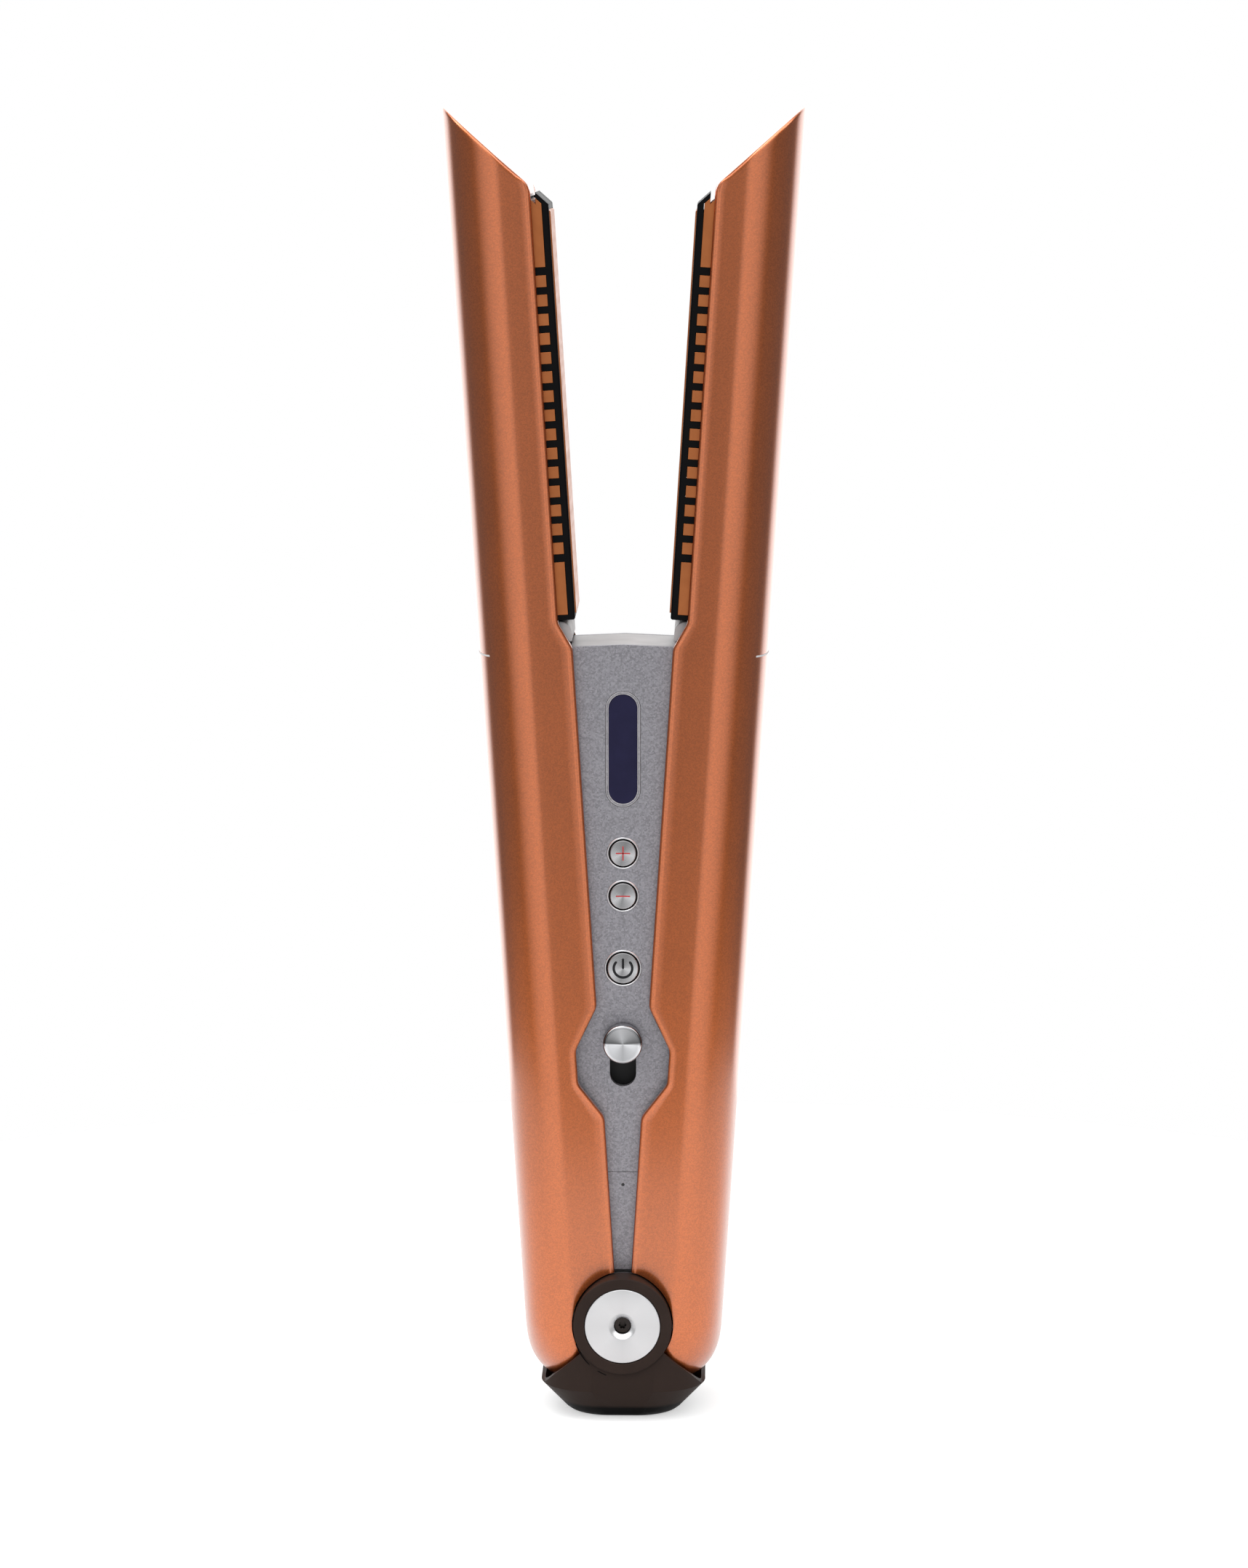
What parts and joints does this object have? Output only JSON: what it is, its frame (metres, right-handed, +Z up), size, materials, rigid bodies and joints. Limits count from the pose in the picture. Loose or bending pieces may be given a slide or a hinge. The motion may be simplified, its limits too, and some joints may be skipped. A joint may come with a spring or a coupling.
{
  "type": "flat iron",
  "caption": "Cordless hair straightener: two sprung copper-coloured arms with slotted flexing plates on one hub, a grey control spine between them, and a cap to stand on.",
  "frame": {"origin": "middle of the base cap's flat underside, which it stands on", "axes": "+Z up along the closed arms; the hub axis lies along Y; the control panel faces -Y"},
  "size_m": [0.0804, 0.0388, 0.2948],
  "materials": {
    "battery_foil": "laminated aluminium pouch over the cell",
    "bezel_metal": "bright satin collar",
    "black_moulding": "glass-filled black plastic",
    "board_green": "solder-masked board",
    "button_metal": "spun metal cap",
    "cap_dark": "dark brown-black plastic, fine satin texture",
    "cast_bracket": "die-cast, tumbled",
    "ceramic": "ceramic heater body",
    "contact_silver": "spun silver contact face",
    "copper_plate": "manganese copper alloy, polished face",
    "copper_shell": "metallic copper lacquer, satin clear coat, fine flake",
    "display_glass": "dark navy tinted window",
    "grey_moulding": "silver-grey moulded plastic",
    "hub_screw_black": "black oxide steel",
    "insulator": "mica and fibre insulation board",
    "light_pipe": "smoked light pipe",
    "lock_chrome": "spun chrome face",
    "panel_grey": "nickel-grey metallic paint with fine fleck",
    "plate_carrier_black": "heat-resistant black plastic, low sheen",
    "screw_steel": "turned steel",
    "spine_moulding": "structural moulding",
    "spring_steel": "drawn wire",
    "switch_black": "tact switch",
    "washer_plastic": "natural acetal"
  },
  "bodies": {
    "spine": {"spine_frame": "spine_moulding", "front_panel": "panel_grey", "rear_panel": "panel_grey", "spine_top_cap": "grey_moulding", "display_bezel": "bezel_metal", "display_window": "display_glass", "display_module": "black_moulding", "control_board": "board_green", "button_switches": "switch_black", "button_collars": "bezel_metal", "charge_light": "light_pipe", "lock_rail": "black_moulding", "base_cap": "cap_dark", "hub_axle": "screw_steel", "thrust_washers": "washer_plastic", "left_torsion_spring": "spring_steel", "right_torsion_spring": "spring_steel", "hub_ring_front": "cap_dark", "hub_ring_rear": "cap_dark", "contact_disc_front": "contact_silver", "contact_disc_rear": "contact_silver", "contact_insulator_front": "black_moulding", "contact_insulator_rear": "black_moulding", "hub_screw_front": "hub_screw_black", "hub_screw_rear": "hub_screw_black"},
    "left_arm": {"left_arm_shell": "copper_shell", "left_inner_cover": "grey_moulding", "left_hinge_bracket": "cast_bracket", "left_battery_cells": "battery_foil", "left_bracket_screws": "screw_steel", "left_plate_tray": "black_moulding", "left_plate_springs": "spring_steel"},
    "right_arm": {"right_arm_shell": "copper_shell", "right_inner_cover": "grey_moulding", "right_hinge_bracket": "cast_bracket", "right_battery_cells": "battery_foil", "right_bracket_screws": "screw_steel", "right_plate_tray": "black_moulding", "right_plate_springs": "spring_steel"},
    "left_plate_carrier": {"left_plate": "copper_plate", "left_plate_frame": "plate_carrier_black", "left_heater": "ceramic", "left_heat_insulator": "insulator", "left_temperature_sensor": "ceramic"},
    "right_plate_carrier": {"right_plate": "copper_plate", "right_plate_frame": "plate_carrier_black", "right_heater": "ceramic", "right_heat_insulator": "insulator", "right_temperature_sensor": "ceramic"},
    "plus_key": {"plus_button": "button_metal"},
    "minus_key": {"minus_button": "button_metal"},
    "power_key": {"power_button": "button_metal"},
    "sliding_lock": {"lock_knob": "lock_chrome", "lock_bar": "black_moulding"}
  },
  "joints": [
    {"name": "left_arm_hinge", "type": "hinge", "parent": "spine", "child": "left_arm", "pos_m": [0, 0, 0.0224], "axis": [0, 1, 0], "range_deg": [0, 3.6], "stiffness_Nm_per_rad": 6, "springref_deg": -5.73},
    {"name": "right_arm_hinge", "type": "hinge", "parent": "spine", "child": "right_arm", "pos_m": [0, 0, 0.0224], "axis": [0, 1, 0], "range_deg": [-3.6, 0], "stiffness_Nm_per_rad": 6, "springref_deg": 5.73},
    {"name": "left_plate_float", "type": "slide", "parent": "left_arm", "child": "left_plate_carrier", "axis": [-0.998, 0, -0.0628], "range_m": [0, 0.0006], "stiffness_N_per_m": 6000, "springref_m": -0.001, "deforming": ["left_plate_springs"]},
    {"name": "right_plate_float", "type": "slide", "parent": "right_arm", "child": "right_plate_carrier", "axis": [0.998, 0, -0.0628], "range_m": [0, 0.0006], "stiffness_N_per_m": 6000, "springref_m": -0.001, "deforming": ["right_plate_springs"]},
    {"name": "plus_button_press", "type": "slide", "parent": "spine", "child": "plus_key", "axis": [0, 1, 0], "range_m": [0, 0.0005], "stiffness_N_per_m": 2000, "springref_m": -0.0005},
    {"name": "minus_button_press", "type": "slide", "parent": "spine", "child": "minus_key", "axis": [0, 1, 0], "range_m": [0, 0.0005], "stiffness_N_per_m": 2000, "springref_m": -0.0005},
    {"name": "power_button_press", "type": "slide", "parent": "spine", "child": "power_key", "axis": [0, 1, 0], "range_m": [0, 0.0005], "stiffness_N_per_m": 2000, "springref_m": -0.0005},
    {"name": "lock_slide", "type": "slide", "parent": "spine", "child": "sliding_lock", "axis": [0, 0, -1], "range_m": [0, 0.0074]}
  ],
  "couplings": [
    {"joint": "right_arm_hinge", "follows": "left_arm_hinge", "ratio": -1}
  ]
}
